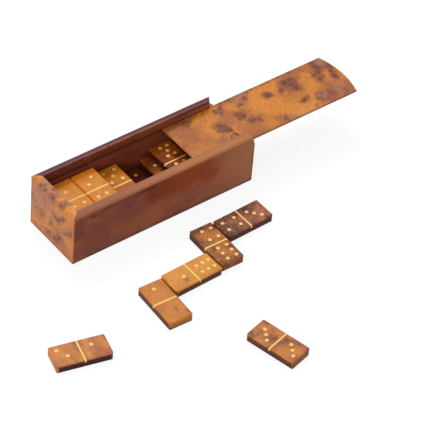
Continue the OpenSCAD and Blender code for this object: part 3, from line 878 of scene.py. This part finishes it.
def add_world(scene, settings):
    """Soft light from all round, which shows as white."""
    scene.world = bpy.data.worlds.new("Studio")
    scene.world.use_nodes = True
    bench = Bench(scene.world.node_tree)
    background = scene.world.node_tree.nodes["Background"].inputs
    bench.feed(background["Color"], (1, 1, 1))
    bench.feed(background["Strength"], bench.blend(seen_directly(bench), settings.fill_level, 1.0))


def add_lamp(scene, name, direction, size, power):
    """A round soft lamp in that direction, turned towards the lamps' target."""
    lamp = bpy.data.lights.new(name, "AREA")
    lamp.shape = "DISK"
    lamp.size = size
    lamp.energy = power
    holder = bpy.data.objects.new(name, lamp)
    scene.collection.objects.link(holder)
    away = Vector(direction).normalized() * LAMP_DISTANCE
    holder.location = LAMP_TARGET + away
    holder.rotation_euler = (-away).to_track_quat("-Z", "Y").to_euler()


def add_camera(scene, settings):
    """The camera, which looks down on the box from its front left."""
    camera_data = bpy.data.cameras.new("camera")
    camera_data.sensor_width = CAMERA_SENSOR
    camera_data.lens = settings.lens
    camera_data.clip_start, camera_data.clip_end = CAMERA_REACH
    camera = bpy.data.objects.new("camera", camera_data)
    scene.collection.objects.link(camera)
    camera.location = CAMERA_PLACE
    camera.rotation_euler = Euler(math.radians(angle) for angle in CAMERA_TURN)
    scene.camera = camera


class DOMINO_OT_studio(bpy.types.Operator):
    """Pale floor, soft light and the camera"""

    bl_idname = "domino.studio"
    bl_label = "Studio"

    def execute(self, context):
        scene = context.scene
        settings = scene.domino_studio
        scene.view_settings.view_transform = "Standard"
        add_floor(settings)
        add_world(scene, settings)
        add_lamp(scene, "key lamp", *KEY_LAMP, settings.key_power)
        add_lamp(scene, "side lamp", *SIDE_LAMP, settings.side_power)
        add_camera(scene, settings)
        return {"FINISHED"}


# ---------- woods ----------

class DOMINO_OT_sides(bpy.types.Operator):
    """Plain wood on the long sides and the base"""

    bl_idname = "domino.sides"
    bl_label = "Sides and Base"

    def execute(self, context):
        settings = context.scene.domino_woods
        for node, name, shades in (
                ("front_side", "Front Side Wood", front_side_shades),
                ("back_side", "Back Side Wood", back_side_shades),
                ("base_board", "Base Wood", back_side_shades)):
            dress(node, side_board(node, name, settings, shades))
        return {"FINISHED"}


class DOMINO_OT_ends(bpy.types.Operator):
    """Burl wood on the two ends"""

    bl_idname = "domino.ends"
    bl_label = "Ends"

    def execute(self, context):
        settings = context.scene.domino_woods
        end_woods = (settings.end_light, settings.end_middle, settings.end_dark)
        dress("closed_end", burl_board("closed_end", "Closed End Burl", {
            "Knots": END_KNOTS, "Glow": END_GLOW, "Brown": END_BROWN, "Haze": END_HAZE,
        }, end_woods, settings, mottled=0.8, eye_amount=0.2, eye_depth=0.6, haze_depth=0.45))
        woods = (settings.light, settings.middle, settings.dark)
        dress("open_end", burl_board("open_end", "Open End Burl", {
            "Knots": OPEN_END_KNOTS,
        }, woods, settings, mottled=0.5, eye_amount=0.6))
        return {"FINISHED"}


class DOMINO_OT_lid(bpy.types.Operator):
    """Burl wood on the sliding lid"""

    bl_idname = "domino.lid"
    bl_label = "Lid"

    def execute(self, context):
        settings = context.scene.domino_woods
        woods = (settings.light, settings.middle, settings.dark)
        dress("sliding_lid", burl_board("sliding_lid", "Lid Burl", {
            "Knots": LID_KNOTS, "Glow": LID_GLOW, "Brown": LID_BROWN, "Haze": LID_HAZE,
            "Amber": LID_SHADE_AMBER,
        }, woods, settings, mottled=0.2, eye_amount=0.1))
        return {"FINISHED"}


class DOMINO_OT_tiles(bpy.types.Operator):
    """Its own cut of wood on each tile"""

    bl_idname = "domino.tiles"
    bl_label = "Tiles"

    def execute(self, context):
        settings = context.scene.domino_woods
        for i, node in enumerate(sorted(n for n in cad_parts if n.startswith("tile_"))):
            woods = TILE_WOODS.get(node) or (*OTHER_WOODS[i % len(OTHER_WOODS)], OTHER_SEED + i)
            dress(node, tile_wood(node, *woods, settings))
        return {"FINISHED"}


class DOMINO_OT_inlays(bpy.types.Operator):
    """Pale wood on the pips and dividing lines"""

    bl_idname = "domino.inlays"
    bl_label = "Inlays"

    def execute(self, context):
        material = inlay_wood(context.scene.domino_woods)
        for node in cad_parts:
            if node.startswith("inlay_"):
                dress(node, material)
        return {"FINISHED"}


class DOMINO_PT_panel(bpy.types.Panel):
    """Finishes of the domino box"""

    bl_label = "Domino Box"
    bl_idname = "DOMINO_PT_panel"
    bl_space_type = "VIEW_3D"
    bl_region_type = "UI"
    bl_category = "Domino Box"

    def draw(self, context):
        for settings in (context.scene.domino_woods, context.scene.domino_studio):
            box = self.layout.box()
            for name in settings.__annotations__:
                box.prop(settings, name)
        for operator in OPERATORS:
            self.layout.operator(operator.bl_idname)


OPERATORS = (
    DOMINO_OT_studio, DOMINO_OT_sides, DOMINO_OT_ends,
    DOMINO_OT_lid, DOMINO_OT_tiles, DOMINO_OT_inlays)
CLASSES = (WoodSettings, StudioSettings, *OPERATORS, DOMINO_PT_panel)


def register():
    for cls in CLASSES:
        bpy.utils.register_class(cls)
    bpy.types.Scene.domino_woods = PointerProperty(type=WoodSettings)
    bpy.types.Scene.domino_studio = PointerProperty(type=StudioSettings)


def unregister():
    del bpy.types.Scene.domino_studio
    del bpy.types.Scene.domino_woods
    for cls in reversed(CLASSES):
        bpy.utils.unregister_class(cls)


def main():
    register()
    bpy.ops.domino.studio()
    bpy.ops.domino.sides()
    bpy.ops.domino.ends()
    bpy.ops.domino.lid()
    bpy.ops.domino.tiles()
    bpy.ops.domino.inlays()
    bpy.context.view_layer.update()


if __name__ == "__main__":
    main()
